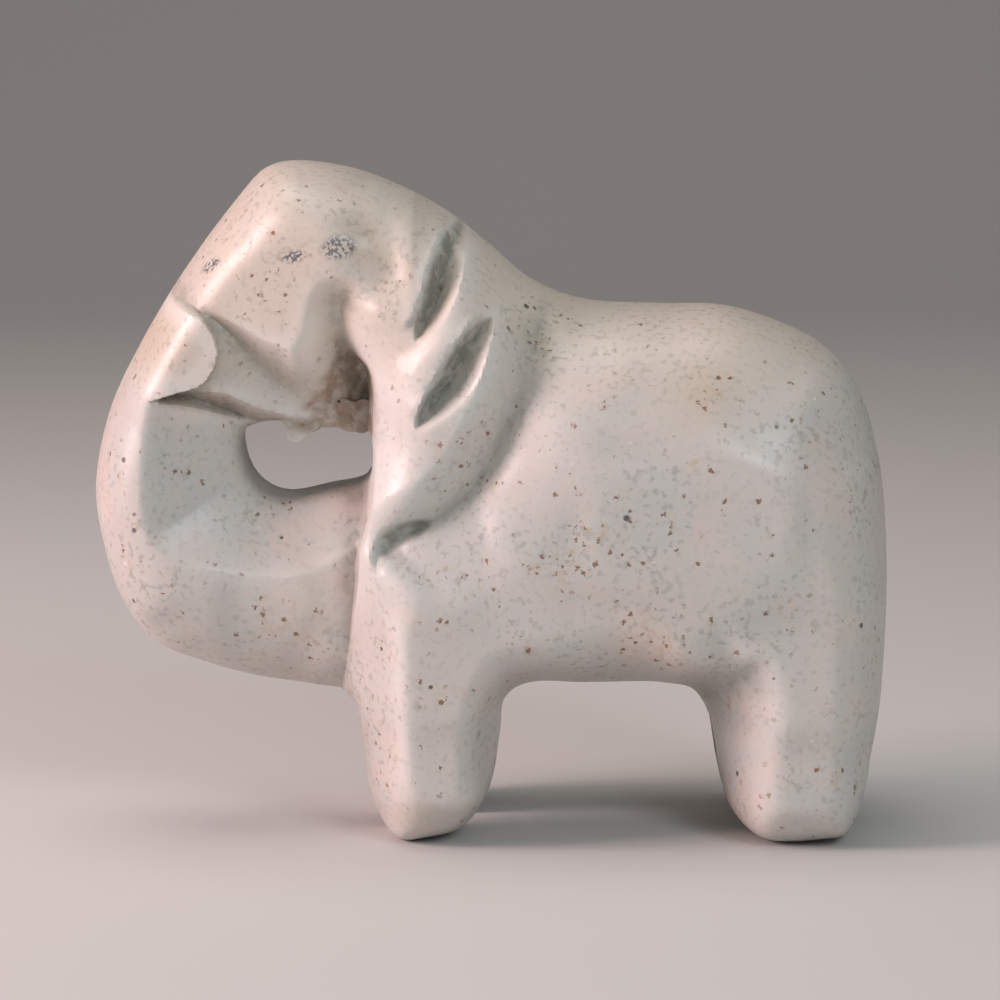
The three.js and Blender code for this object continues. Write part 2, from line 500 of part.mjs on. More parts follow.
function carveSurface() {
  const { x: gx, y: gy, z: gz } = GRID;
  const [nx, ny, nz] = [gx.length, gy.length, gz.length];
  const index = (i, j, k) => (i * ny + j) * nz + k;
  const place = (i, j, k) => new THREE.Vector3(gx[i], gy[j], gz[k]);
  const value = new Float64Array(nx * ny * nz);
  for (let i = 0; i < nx; i += 1) {
    for (let k = 0; k < nz; k += 1) {
      const c = column(gx[i], gz[k]);
      for (let j = 0; j < ny; j += 1) value[index(i, j, k)] = stone(c, gy[j], gz[k]);
    }
  }
  // every crossed edge adds its crossing to the four cells around it
  const cells = new Map();
  const hits = [];
  for (let i = 0; i < nx; i += 1) {
    for (let j = 0; j < ny; j += 1) {
      for (let k = 0; k < nz; k += 1) {
        STEPS.forEach(([di, dj, dk], axis) => {
          if (i + di >= nx || j + dj >= ny || k + dk >= nz) return;
          const ends = [index(i, j, k), index(i + di, j + dj, k + dk)];
          const [a, b] = ends.map((end) => value[end]);
          if (a < 0 === b < 0) return;
          const [u, v] = [STEPS[(axis + 1) % 3], STEPS[(axis + 2) % 3]];
          const hit = {
            ...crossing(place(i, j, k), place(i + di, j + dj, k + dk), a, b),
            axis,
            start: [i, j, k],
            inner: a < 0 ? ends[0] : ends[1],
            outward: a < 0,
            around: [[0, 0], [1, 0], [1, 1], [0, 1]].map(([s, t]) => (
              index(i - s * u[0] - t * v[0], j - s * u[1] - t * v[1], k - s * u[2] - t * v[2]))),
            corner: new Map(),
          };
          hits.push(hit);
          for (const cell of hit.around) {
            if (!cells.has(cell)) cells.set(cell, []);
            cells.get(cell).push(hit);
          }
        });
      }
    }
  }
  // a cell gets one point for each separate sheet of surface in it
  const points = [];
  for (const [cell, inCell] of cells) {
    const k = cell % nz;
    const j = Math.floor(cell / nz) % ny;
    const i = Math.floor(cell / (nz * ny));
    for (const sheet of sheetsOf(inCell, [i, j, k])) {
      for (const hit of sheet) hit.corner.set(cell, points.length);
      points.push(bestPoint([...sheet], place(i, j, k), place(i + 1, j + 1, k + 1)));
    }
  }
  const triangles = [];
  for (const { around, outward, corner } of hits) {
    const [a, b, c, d] = around.map((cell) => corner.get(cell));
    const quad = outward ? [a, b, c, d] : [a, d, c, b];
    const short = points[quad[0]].distanceTo(points[quad[2]])
      < points[quad[1]].distanceTo(points[quad[3]]);
    const [p, q, r, s] = short ? quad : [quad[1], quad[2], quad[3], quad[0]];
    triangles.push(p, q, r, p, r, s);
  }
  const geometry = new THREE.BufferGeometry().setFromPoints(points);
  geometry.setIndex(triangles);
  geometry.computeVertexNormals();
  return geometry;
}

// ---- the part ------------------------------------------------------------------------------
const part = new THREE.Group();
part.name = 'soapstone_elephant_sculpture';
const elephant = new THREE.Mesh(
  carveSurface(),
  new THREE.MeshStandardMaterial({ color: 0xe4dcd6, roughness: 0.5, metalness: 0 }),
);
elephant.name = 'elephant';
part.add(elephant);

export default part;
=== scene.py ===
# %% [markdown]
# # A pocket elephant in soapstone
# The real object is one piece of pale soapstone, sawn to the outline of an elephant and then
# carved from its two wide sides with a knife and a rasp. This lesson builds it as one closed
# surface around a formula, gives it a stone material made of nodes, and lights it softly.

# %% Load the frame that every measure comes from
import math
import bpy
import numpy as np
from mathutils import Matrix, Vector


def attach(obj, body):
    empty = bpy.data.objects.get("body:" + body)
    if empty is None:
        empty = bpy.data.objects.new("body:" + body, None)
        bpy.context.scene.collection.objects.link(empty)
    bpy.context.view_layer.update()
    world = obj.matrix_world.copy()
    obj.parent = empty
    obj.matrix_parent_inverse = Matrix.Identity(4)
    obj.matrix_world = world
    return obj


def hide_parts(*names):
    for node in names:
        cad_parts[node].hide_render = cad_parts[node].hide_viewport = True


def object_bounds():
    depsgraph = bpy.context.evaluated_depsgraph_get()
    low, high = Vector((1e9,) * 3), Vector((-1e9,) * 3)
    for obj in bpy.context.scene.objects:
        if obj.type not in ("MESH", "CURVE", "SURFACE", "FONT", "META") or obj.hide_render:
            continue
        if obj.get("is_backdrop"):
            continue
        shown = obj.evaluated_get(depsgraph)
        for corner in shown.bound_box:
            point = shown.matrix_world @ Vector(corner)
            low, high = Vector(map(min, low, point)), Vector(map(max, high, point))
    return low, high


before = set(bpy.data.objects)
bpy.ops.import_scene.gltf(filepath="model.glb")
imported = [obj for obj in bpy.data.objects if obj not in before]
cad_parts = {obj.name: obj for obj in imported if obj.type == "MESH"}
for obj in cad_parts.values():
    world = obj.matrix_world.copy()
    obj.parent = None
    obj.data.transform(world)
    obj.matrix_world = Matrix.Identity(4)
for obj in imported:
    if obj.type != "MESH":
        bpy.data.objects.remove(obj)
cad_low, cad_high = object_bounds()
print("frame box in mm:", [round(c * 1000, 2) for c in (*cad_low, *cad_high)])

# %% [markdown]
# ## Camera, floor and light
# A small object looks its size when a long lens sees it from a little above, and a broad soft
# light from the front right with a warm one from the left shows every cut of the knife. A
# small cool lamp low in front adds a faint sheen, and the floor is plain, so nothing competes
# with the stone.

# %% Camera
MM = 0.001
AIM = np.array([0.67, 0.0, 24.07]) * MM
CAMERA_HEIGHT = math.radians(7)
CAMERA_REACH = 300 * MM
VIEW_WIDTH = 73.9 * MM
SENSOR_WIDTH = 36

camera_data = bpy.data.cameras.new("camera")
camera_data.sensor_width = SENSOR_WIDTH
camera_data.lens = SENSOR_WIDTH * CAMERA_REACH / VIEW_WIDTH
camera_data.clip_start = 0.01
camera = bpy.data.objects.new("camera", camera_data)
camera.location = AIM + CAMERA_REACH * np.array([0, -math.cos(CAMERA_HEIGHT), math.sin(CAMERA_HEIGHT)])
camera.rotation_euler = (math.pi / 2 - CAMERA_HEIGHT, 0, 0)
bpy.context.scene.collection.objects.link(camera)
bpy.context.scene.camera = camera
print("lens", round(camera_data.lens, 1), "mm")

# %% Floor, lamps and the light of the room
def plain_material(name, colour, roughness):
    """A flat finish, for the floor alone."""
    material = bpy.data.materials.new(name)
    material.use_nodes = True
    shader = material.node_tree.nodes["Principled BSDF"]
    shader.inputs["Base Color"].default_value = (*colour, 1)
    shader.inputs["Roughness"].default_value = roughness
    return material


FLOOR_WIDTH = 4.0
FLOOR_FRONT = -1.2
SWEEP_START = 0.5
SWEEP_RADIUS = 0.5
WALL_TOP = 1.6
FLOOR_COLOUR = (0.62, 0.61, 0.595)
FLOOR_ROUGHNESS = 0.85
turns = np.linspace(0, math.pi / 2, 25)
profile = np.vstack([[FLOOR_FRONT, 0],
                     np.stack([SWEEP_START + SWEEP_RADIUS * np.sin(turns),
                               SWEEP_RADIUS * (1 - np.cos(turns))], 1),
                     [SWEEP_START + SWEEP_RADIUS, WALL_TOP]])
rows = len(profile)
corners = [(x, y, z) for x in (-FLOOR_WIDTH / 2, FLOOR_WIDTH / 2) for y, z in profile]
floor_mesh = bpy.data.meshes.new("floor")
floor_mesh.from_pydata(corners, [], [(i, i + rows, i + rows + 1, i + 1) for i in range(rows - 1)])
floor_mesh.shade_smooth()
floor_mesh.materials.append(plain_material("floor", FLOOR_COLOUR, FLOOR_ROUGHNESS))
floor = bpy.data.objects.new("floor", floor_mesh)
bpy.context.scene.collection.objects.link(floor)
floor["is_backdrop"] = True


def soft_lamp(name, place_mm, aim_mm, size_mm, power, colour):
    """A square lamp that looks from one place towards another."""
    lamp_data = bpy.data.lights.new(name, "AREA")
    lamp_data.shape = "SQUARE"
    lamp_data.size = size_mm * MM
    lamp_data.energy = power
    lamp_data.color = colour
    lamp = bpy.data.objects.new(name, lamp_data)
    place = np.array(place_mm, float) * MM
    aim = np.array(aim_mm, float) * MM
    lamp.location = place
    lamp.rotation_mode = "QUATERNION"
    lamp.rotation_quaternion = Vector(aim - place).to_track_quat("-Z", "Y")
    bpy.context.scene.collection.objects.link(lamp)


soft_lamp("window", (150, -300, 200), (8, 0, 26), 120, 0.36, (0.84, 0.95, 1.0))
soft_lamp("glint", (52, -315, 10), (18, 0, 26), 26, 0.030, (0.70, 0.92, 1.0))
soft_lamp("warm_side", (-340, -90, 150), (0, 0, 22), 150, 1.35, (1.0, 0.75, 0.76))
soft_lamp("sky", (-60, 40, 420), (0, 0, 20), 260, 0.50, (1.0, 0.93, 0.88))

ROOM_COLOUR = (0.90, 0.88, 0.86, 1)
ROOM_STRENGTH = 0.27
world = bpy.data.worlds.new("room")
world.use_nodes = True
background = world.node_tree.nodes["Background"]
background.inputs["Color"].default_value = ROOM_COLOUR
background.inputs["Strength"].default_value = ROOM_STRENGTH
bpy.context.scene.world = world
bpy.context.scene.view_settings.view_transform = "Standard"
print("lamps:", len(bpy.data.lights))

# %% [markdown]
# ## Curves of the side view
# Everything the carver cut can be drawn on the flat side of the block: the outline, the hole
# in the trunk, the rim of the mouth hollow, the crease behind the ear and the two leaf-shaped
# cuts. Each is a handful of points with a smooth curve through them, so it stays easy to move.

# %% Smooth curves and distances to them
def smooth_line(points, closed=False, steps=8):
    """Catmull-Rom curve: each span is a cubic whose ends lean along the chord of their
    neighbours. Returns the curve as short straight pieces."""
    p = np.asarray(points, float)
    if closed:
        before, start, end, after = (np.roll(p, k, 0) for k in (1, 0, -1, -2))
    else:
        q = np.vstack([2 * p[0] - p[1], p, 2 * p[-1] - p[-2]])
        before, start, end, after = q[:-3], q[1:-2], q[2:-1], q[3:]
    t = (np.arange(steps) / steps)[None, :, None]
    before, start, end, after = (a[:, None, :] for a in (before, start, end, after))
    bend = (2 * before - 5 * start + 4 * end - after) * t ** 2
    twist = (3 * start - before - 3 * end + after) * t ** 3
    line = 0.5 * (2 * start + (end - before) * t + bend + twist)
    line = line.reshape(-1, 2)
    return line if closed else np.vstack([line, p[-1:]])


def nearest_on(line, x, z, closed=False):
    """Nearest point of a line: its distance, its share of the line's length, and the side the
    place lies on, positive to the left when the line is followed downwards."""
    a = line if closed else line[:-1]
    b = np.roll(line, -1, 0) if closed else line[1:]
    spans = np.hypot(*(b - a).T)
    starts = np.concatenate([[0], np.cumsum(spans)[:-1]])
    distance = np.full(x.shape, np.inf)
    along = np.zeros(x.shape)
    side = np.ones(x.shape)
    for (ax, az), (ex, ez), span, start in zip(a, b - a, spans, starts):
        t = np.clip(((x - ax) * ex + (z - az) * ez) / span ** 2, 0, 1)
        d = np.hypot(x - ax - t * ex, z - az - t * ez)
        closer = d < distance - 1e-9
        distance[closer] = d[closer]
        along[closer] = (start + t * span)[closer] / spans.sum()
        side[closer] = np.sign((x - ax) * ez - (z - az) * ex)[closer]
    return distance, along, side


def is_inside(line, x, z):
    """True where a ray to the right crosses the closed line an odd number of times."""
    inside = np.zeros(x.shape, bool)
    for (ax, az), (bx, bz) in zip(line, np.roll(line, -1, 0)):
        if az != bz:
            inside ^= ((az > z) != (bz > z)) & (x < (bx - ax) * (z - az) / (bz - az) + ax)
    return inside


def depth_inside(line, x, z):
    """Distance inside a closed line, negative outside."""
    distance = nearest_on(line, x, z, closed=True)[0]
    return np.where(is_inside(line, x, z), distance, -distance)


STRAIGHT_EDGE = 0.9817  # the sum below for a straight edge at distance 1


def smooth_distance(line, x, z):
    """Distance to a closed line without ridges: the eighth power of closeness is summed along
    the line, and the seventh root of one over that sum is a distance again."""
    ends = np.roll(line, -1, 0)
    closeness = np.zeros(x.shape)
    for (mx, mz), span in zip((line + ends) / 2, np.hypot(*(ends - line).T)):
        closeness += span / ((x - mx) ** 2 + (z - mz) ** 2 + 0.001) ** 4
    return (closeness / STRAIGHT_EDGE) ** (-1 / 7)


# %% Blends and tables
def ease(low, high, value):
    """0 below low, 1 above high, and a smooth step between."""
    t = np.clip((value - low) / (high - low), 0, 1)
    return t * t * (3 - 2 * t)


def soft_min(a, b, width):
    """The smaller of two surfaces, rounded where they are closer than width."""
    near = np.maximum(width - np.abs(a - b), 0) / width
    return np.minimum(a, b) - near * near * width / 4


def soft_max(a, b, width):
    """The larger of two surfaces, rounded where they are closer than width."""
    return -soft_min(-a, -b, width)


def ease_in(distance, softness):
    """0 up to an edge, then a soft start and a straight rise."""
    inside = np.maximum(distance, 0)
    return inside * inside / (inside + softness)


def spread(stations, x, z):
    """Mean of the values at the stations, weighted by closeness."""
    weights = 0
    total = 0
    for sx, sz, value in stations:
        weight = ((x - sx) ** 2 + (z - sz) ** 2 + 2) ** -2.5
        weights = weights + weight
        total = total + weight * value
    return total / weights


def read_table(rows, at, column=1):
    """Smooth curve through the rows of a table, read in one of its columns: cubic pieces whose
    slopes at the rows are the weighted mean of the slopes on both sides."""
    table = np.array(rows, float)
    heights, values = table[:, 0], table[:, column]
    slopes = np.gradient(values, heights)
    i = np.clip(np.searchsorted(heights, at, "right") - 1, 0, len(heights) - 2)
    gap = heights[i + 1] - heights[i]
    u = np.clip((at - heights[i]) / gap, 0, 1)
    v = 1 - u
    ends = values[i] * (1 + 2 * u) * v * v + values[i + 1] * u * u * (3 - 2 * u)
    return ends + gap * u * v * (slopes[i] * v - slopes[i + 1] * u)


print("helpers ready")

# %% [markdown]
# ## The carved form
# The carver works inwards from the two wide faces, so the form is kept as two reliefs: one of
# head and trunk, one of ear, body and legs. A relief says how thick half of the stone is at a
# place of the side view, and how broadly it is rounded off towards the outline. A modelling
# program could sculpt this by hand, but a formula keeps both flanks alike and every cut crisp.

# %% Outline and hole: x and height in mm
OUTLINE = [
    (-14.0, 49.1), (-10.2, 48.6), (-6.7, 47.3), (-3.2, 45.4), (0.0, 42.9), (3.0, 40.4),
    (7.0, 38.9), (12.0, 38.6), (17.0, 38.5), (21.2, 37.3), (24.6, 35.4), (27.0, 32.4),
    (28.4, 27.8), (29.0, 22.6), (29.1, 16.6), (28.7, 9.6), (27.8, 4.4), (26.4, 0.6),
    (24.0, -0.2), (20.0, -0.2), (17.7, 1.6), (16.8, 4.6), (16.1, 8.2), (14.6, 10.4),
    (11.5, 10.9), (7.5, 10.9), (3.2, 11.0), (1.1, 9.8), (0.7, 7.0), (0.0, 3.4),
    (-1.8, 0.7), (-4.4, -0.15), (-7.1, -0.15), (-8.8, 2.4), (-9.5, 6.2), (-10.3, 9.7),
    (-13.0, 10.4), (-17.0, 11.0), (-21.0, 12.1), (-24.6, 13.6), (-27.0, 16.4), (-28.5, 20.6),
    (-29.1, 25.4), (-28.1, 30.6), (-26.1, 35.0), (-23.5, 39.5), (-20.8, 43.5), (-18.2, 46.8),
    (-16.4, 48.6)]
HOLE = [
    (-18.2, 29.3), (-16.6, 30.2), (-14.2, 30.3), (-11.6, 30.3), (-9.0, 29.9), (-8.5, 27.8),
    (-9.2, 25.8), (-11.8, 25.1), (-14.8, 24.5), (-16.8, 25.2), (-18.0, 26.9)]
outline = smooth_line(OUTLINE, closed=True, steps=6)
hole = smooth_line(HOLE, closed=True, steps=5)
print("outline from", outline.min(0).round(1), "to", outline.max(0).round(1))

# %% Half thickness and rounding at stations of the side view: x, height, value
HEAD_THICKNESS = [
    (-10.5, 43.5, 9.8), (-13, 48, 9.6), (-18, 44, 9.1), (-13.3, 40, 9.3), (-9, 40, 9.7),
    (-6, 45, 10.6), (-23, 37, 8.3), (-27, 27, 7.8), (-23, 17, 7.7), (-16, 17, 7.3),
    (-11, 14, 6.9), (-10, 20, 6.9)]
BODY_THICKNESS = [
    (-13, 46, 9.8), (-9, 42, 9.9), (-4, 43, 11.2), (1, 40, 11.6), (-6, 38, 11.2),
    (-3, 35, 12.0), (-3, 30, 12.3), (-3, 22, 12.5), (3, 24, 13.0), (10, 24, 13.4),
    (18, 24, 13.3), (26, 24, 12.8), (22, 33, 12.6), (10, 33, 12.8), (-3, 12, 12.3),
    (-3, 6, 12.0), (-3, 0, 10.8), (22, 12, 12.6), (22, 5, 12.2), (22, 0, 11.4), (8, 14, 12.8)]
HEAD_ROUNDING = [
    (-12, 49, 5.5), (-15.5, 48.5, 4.8), (-18, 47, 4.2), (-22, 42, 3.6), (-26, 36, 3.6),
    (-29, 27, 4.2), (-28, 18, 5.0), (-23, 12, 7.5), (-16, 11, 8.0), (-11, 10.5, 6.0),
    (-3, 45.5, 6.0)]
BODY_ROUNDING = [
    (-12, 49, 5.5), (-10.2, 10.5, 1.6), (-9.5, 5, 1.6), (-8, 0, 2.6), (-3, 0, 3.2),
    (0, 3, 2.8), (1, 8, 3.6), (4, 11, 5.5), (10, 11, 7.0), (15, 10.5, 4), (16.5, 5, 2.0),
    (18, 0, 2.6), (24, 0, 2.8), (27.5, 2.5, 3.4), (28.5, 8, 4.6), (29, 15, 5.0),
    (29, 24, 6.0), (27, 32, 9), (20, 38, 11.5), (10, 38.6, 11.5), (3, 40.5, 8.0),
    (-3, 45.5, 6.0)]

# %% The cuts of the knife, as lines of the side view
TRUNK_REAR = [(-24.1, 32.2), (-22.5, 32.7), (-20.8, 33.3), (-19.8, 34.6), (-19.6, 36.1),
              (-20.3, 37.6), (-21.9, 39.5)]
CHEEK_EDGE = [(-21.9, 39.5), (-20.3, 38.7), (-18.3, 37.8), (-16.3, 36.7), (-14.4, 36.0)]
ARCH = [(-14.4, 36.0), (-13.7, 37.6), (-13.3, 39.6), (-12.3, 41.0), (-10.6, 41.6),
        (-9.0, 41.0), (-7.8, 39.2), (-5.0, 37.8), (-3.0, 35.5)]
HOLLOW_FOOT = [(-3, 20), (-27, 20), (-27, 31.6)]
LIP = [(-26, 32.0), (-24, 32.2), (-22.5, 32.6), (-21, 32.7), (-19.2, 32.6), (-17.6, 31.8),
       (-16, 31.2), (-8, 31.0)]
MOUTH_LINE = [(-26, 32.2), (-24.2, 32), (-22, 31.7), (-19.3, 30.9), (-17.6, 30.4), (-8, 30.4)]
CHEEK_LIMIT = [(-30, 43), (-22.2, 39.3), (-20.3, 38.3), (-18.3, 37.4), (-16.3, 36.3),
               (-14.4, 35.6), (-10, 33)]
CREST = [(-24.6, 32.5), (-25.0, 30.5), (-25.2, 28.0), (-25.2, 25.0), (-24.9, 22.4),
         (-23.2, 20.8), (-20.5, 20.0), (-17.0, 19.4), (-13.5, 19.6), (-10.5, 21.0),
         (-8.0, 23.0)]
CREASE = [(4.2, 41.4), (3.8, 38.6), (3.2, 36.0), (2.3, 33.0), (0.8, 29.8), (-1.0, 26.6),
          (-3.4, 24.3), (-6.0, 22.7), (-8.3, 20.2)]
UPPER_LEAF = [(-2.0, 45.2), (-2.6, 43.6), (-3.2, 41.6), (-4.1, 39.0), (-5.3, 36.8)]
LOWER_LEAF = [(0.1, 38.4), (-1.3, 36.6), (-2.2, 34.9), (-3.2, 33.3), (-5.3, 30.6)]
# front corner of ear and foreleg: height, its x, steepness of the face before it, the x where
# that face turns inwards above the trunk, and how much steeper it is from there
ARRIS = [
    (0, -6.2, 1.4, -11, 6), (8, -6.2, 1.4, -10.8, 6), (9.5, -6.3, 1.35, -10.6, 6),
    (15, -6.4, 1.3, -10.1, 6), (19, -6.8, 1.3, -9.5, 6), (21.5, -7.4, 1.35, -9.2, 6),
    (23.5, -7.4, 1.4, -8.6, 6), (25.5, -6.9, 1.4, -8.4, 6), (27, -6.4, 1.35, -8.3, 6),
    (30, -5.7, 1.25, -8.2, 6), (33, -6.0, 1.25, -8.2, 6), (34.3, -6.1, 1.2, -8.5, 6),
    (35.3, -6.2, 1.05, -9.0, 4), (36.2, -6.3, 0.9, -9.3, 2), (37.2, -6.4, 0.75, -9.6, 0.9),
    (38.5, -6.0, 0.55, -9.9, 0.5), (40, -5.2, 0.42, -10.2, 0.3), (43, -4.6, 0.3, -11, 0),
    (50, -4.5, 0.25, -12, 0)]
crest = smooth_line(CREST)
crease = smooth_line(CREASE)
upper_leaf = smooth_line(UPPER_LEAF)
lower_leaf = smooth_line(LOWER_LEAF)
hollow = np.vstack([smooth_line(TRUNK_REAR)[:-1], smooth_line(CHEEK_EDGE)[:-1],
                    smooth_line(ARCH), HOLLOW_FOOT])

# %% Relief of head and trunk: half thicknesses in mm where each formula starts
CHEEK_HALF = 8.0
HOLLOW_HALF = 7.2
HOLE_RIM_HALF = 3.4


def head_relief(x, z, from_hole):
    """Half thickness: the rounded block, cut by the flat cheek, the mouth hollow under it, and
    the scoop that sweeps from the crest of the trunk down to the hole."""
    block = spread(HEAD_THICKNESS, x, z)
    cheek = CHEEK_HALF + 0.26 * (x + 18) + 0.09 * (z - 43.2)
    limit_x, limit_z = np.array(CHEEK_LIMIT).T
    under_cheek = np.maximum(np.interp(x, limit_x, limit_z) - z, 0)
    skin = soft_min(block, cheek + 3 * under_cheek, 0.25)
    in_hollow = depth_inside(hollow, x, z)
    towards_ear = ease(-15, -12.8, x)
    rim = soft_min(block, cheek, 0.25)
    steepness = 1.6 - 0.6 * ease(-21, -19, x) + 0.9 * towards_ear
    wall = rim - steepness * ease_in(in_hollow, 0.05 + 2.45 * towards_ear)
    floor = np.minimum(HOLLOW_HALF - 0.33 * (x + 22), rim)
    hollowed = np.minimum(soft_max(wall, floor, 0.4 + 2 * towards_ear), rim)
    upper = np.where(in_hollow > 0, hollowed, skin)
    upper = upper - 1.5 * np.maximum(read_table(LIP, x) - z, 0)
    to_crest, _, side = nearest_on(crest, x, z)
    open_side = np.maximum(from_hole, 0)
    share = open_side / (open_side + to_crest)
    scoop = np.where(side > 0, 99, HOLE_RIM_HALF + (block - HOLE_RIM_HALF) * share ** 0.75)
    scoop = scoop - 2.5 * np.maximum(z - read_table(MOUTH_LINE, x), 0)
    carved = np.where(z > 34, upper, np.maximum(upper, scoop))
    rear = -8.6 + 3.0 * ease(35.5, 38.5, z)
    return np.minimum(skin, carved) - 1.8 * np.maximum(x - rear, 0)


# %% Relief of ear, neck, body and legs
CREASE_DEPTH = 2.3
CREASE_ON_EAR = 3.2
CREASE_ON_BODY = 6.5


def leaf_cut(surface, line, deep, front, rear, x, z):
    """A cut with a slanted wall on either side: its depth is a power of a half sine wave along
    its length, and its walls rise in proportion to the distance from its line."""
    distance, along, side = nearest_on(line, x, z)
    depth = deep * np.sin(np.pi * np.clip(along, 0, 1)) ** 0.6
    rise = distance * np.where(side > 0, front, rear)
    return soft_min(surface, surface - depth + rise, 0.2)


def body_relief(x, z):
    """Half thickness: the rounded block, cut by the face in front of ear and foreleg, the facet
    on the shin of the hind leg, the crease behind the ear and the two leaf-shaped cuts."""
    block = spread(BODY_THICKNESS, x, z)
    face = block - read_table(ARRIS, z, 2) * (read_table(ARRIS, z, 1) - x)
    corner = 0.8 + 1.7 * ease(15, 19, z) + 1.5 * ease(6, 1, z)
    surface = soft_min(block, face, corner)
    turn = ease_in(read_table(ARRIS, z, 3) - x, 1.0 * ease(34.5, 36.5, z) + 0.01)
    surface = surface - read_table(ARRIS, z, 4) * turn
    shin = 19.4 + 1.0 * (1 - ease(11, 15, z))
    above = -0.66 * (x - 19.5) + 0.75 * (z - 15.1) + 1.2
    facet = 12.5 - 0.95 * (shin - x) + 1.5 * ease_in(above, 1.0) + 0.12 * np.maximum(18 - x, 0) ** 2
    surface = soft_min(surface, facet, 0.8 + 2.7 * ease(18.5, 16, x))
    distance, along, side = nearest_on(crease, x, z)
    fade = ease(0, 0.2, along) * (1 - ease(0.9, 1, along))
    on_ear = np.clip(1 - distance / CREASE_ON_EAR, 0, 1)
    on_body = np.clip(1 - distance / CREASE_ON_BODY, 0, 1)
    profile = np.where(side < 0, on_body ** 1.8, on_ear ** 1.25)
    surface = surface - CREASE_DEPTH * fade * profile
    surface = leaf_cut(surface, upper_leaf, 2.2, 1.65, 1.75, x, z)
    return leaf_cut(surface, lower_leaf, 2.1, 1.6, 1.35, x, z)


# %% [markdown]
# ## From the side view to a solid
# The side view is worked out once on a fine flat grid. Reading that grid is quick, so the
# solid formula can then be asked at millions of places.

# %% The side view as a fine grid
FINE = 0.1
side_x = np.arange(-30.6, 30.8, FINE)
side_z = np.arange(-1.2, 50.6, FINE)
flat_x, flat_z = np.meshgrid(side_x, side_z, indexing="ij")
edge = depth_inside(outline, flat_x, flat_z)
deeper = ease(0.6, 2.2, edge)
rounded = smooth_distance(outline, flat_x, flat_z)
inward = np.where(edge < 0, edge, (1 - deeper) * edge + deeper * rounded)
from_hole = -depth_inside(hole, flat_x, flat_z)
side_maps = np.stack([
    inward,
    from_hole,
    head_relief(flat_x, flat_z, from_hole),
    spread(HEAD_ROUNDING, flat_x, flat_z),
    body_relief(flat_x, flat_z),
    spread(BODY_ROUNDING, flat_x, flat_z)], axis=-1)
print("side view grid:", side_maps.shape)


def read_side(maps, x, z):
    """The maps at any place: the mean of the four grid points around it, weighted by closeness
    along both directions."""
    u = np.clip((x - side_x[0]) / FINE, 0, len(side_x) - 1.001)
    v = np.clip((z - side_z[0]) / FINE, 0, len(side_z) - 1.001)
    i, j = u.astype(int), v.astype(int)
    u, v = (u - i)[..., None], (v - j)[..., None]
    near = maps[i, j] * (1 - v) + maps[i, j + 1] * v
    far = maps[i + 1, j] * (1 - v) + maps[i + 1, j + 1] * v
    return near * (1 - u) + far * u


# %% The whole elephant as one formula
LEG_GAP = 5.0
LEG_GAP_TAPER = 0.08
LEG_GAP_TOP = 9.6
BLEND = 0.3
HOLE_EDGE = 0.5
EAR_ROOT_BLEND = 2.2
HEAD_FULLNESS = 2
FOOT_FULLNESS = 2.8
LESS_FULL_ABOVE = 0.6


def shell(half, rounding, inward, y, fullness):
    """A relief rounded off towards the outline: the share of the thickness that y takes and the
    share of the rounding that is left are combined like the sides of an ellipse, or of a
    squarer curve where fullness is above 2. Negative inside the stone."""
    thick = np.maximum(half, 0.05)
    aside = np.abs(y) / thick
    outward = np.maximum(rounding - inward, 0) / rounding
    return ((aside ** fullness + outward ** fullness) ** (1 / fullness) - 1) * thick


def stone(x, y, z):
    """How far outside the stone a place is, in mm, and negative inside: head and body joined
    softly, then pierced by the hole and by the arched gap between the legs, and cut flat."""
    maps = np.moveaxis(read_side(side_maps, x, z), -1, 0)
    inward, from_hole, head, head_round, body, body_round = maps
    head = shell(head, head_round, inward, y, HEAD_FULLNESS)
    body = shell(body, body_round, inward, y, FOOT_FULLNESS - LESS_FULL_ABOVE * ease(2, 6, z))
    crown = ease(37, 42, z)
    rearward = ease(-12.5, -3.5, x)
    ear_root = BLEND + EAR_ROOT_BLEND * ease(35.5, 38, z) * ease(-15, -11, x) * ease(-3, -6, x)
    joined = soft_min(head, body, ear_root)
    merged = (1 - crown) * joined + crown * ((1 - rearward) * head + rearward * body)
    gap = LEG_GAP / 2 - LEG_GAP_TAPER * np.maximum(z, 0)
    leg_gap = gap - np.hypot(y, np.maximum(z - (LEG_GAP_TOP - gap), 0))
    pierced = soft_max(merged, -from_hole, HOLE_EDGE)
    return np.maximum(soft_max(pierced, leg_gap, BLEND), -z)


belly = -stone(np.array([10.0]), np.array([0.0]), np.array([24.0]))
print("middle of the belly is", round(float(belly[0]), 1), "mm deep")

# %% [markdown]
# ## What the tools and the years left
# The knife tore small crumbs out of the corner where the mouth meets the ear and left a splinter
# hanging into the hole; the dark walls of the leaf-shaped cuts were scratched with a point and
# never polished; the rasp left shallow waves everywhere. These marks differ from side to side.

# %% Smooth random waves
LATTICE_SIZE = 32
LATTICE = np.random.default_rng(11).random((LATTICE_SIZE,) * 3) * 2 - 1


def waves(x, y, z, size):
    """Random numbers from -1 to 1 at the points of a lattice with cells of one size, and a
    smooth step between neighbours along each of the three directions."""
    scaled = [np.asarray(c, float) / size for c in (x, y, z)]
    corner = [np.floor(c).astype(int) for c in scaled]
    part = [ease(0, 1, c - n) for c, n in zip(scaled, corner)]
    total = 0
    for a in (0, 1):
        for b in (0, 1):
            for c in (0, 1):
                share = 1
                for step, t in zip((a, b, c), part):
                    share = share * (t if step else 1 - t)
                i, j, k = ((n + step) % LATTICE_SIZE for n, step in zip(corner, (a, b, c)))
                total = total + share * LATTICE[i, j, k]
    return total


print("waves run from", waves(flat_x, 0 * flat_x, flat_z, 2.0).min().round(2))

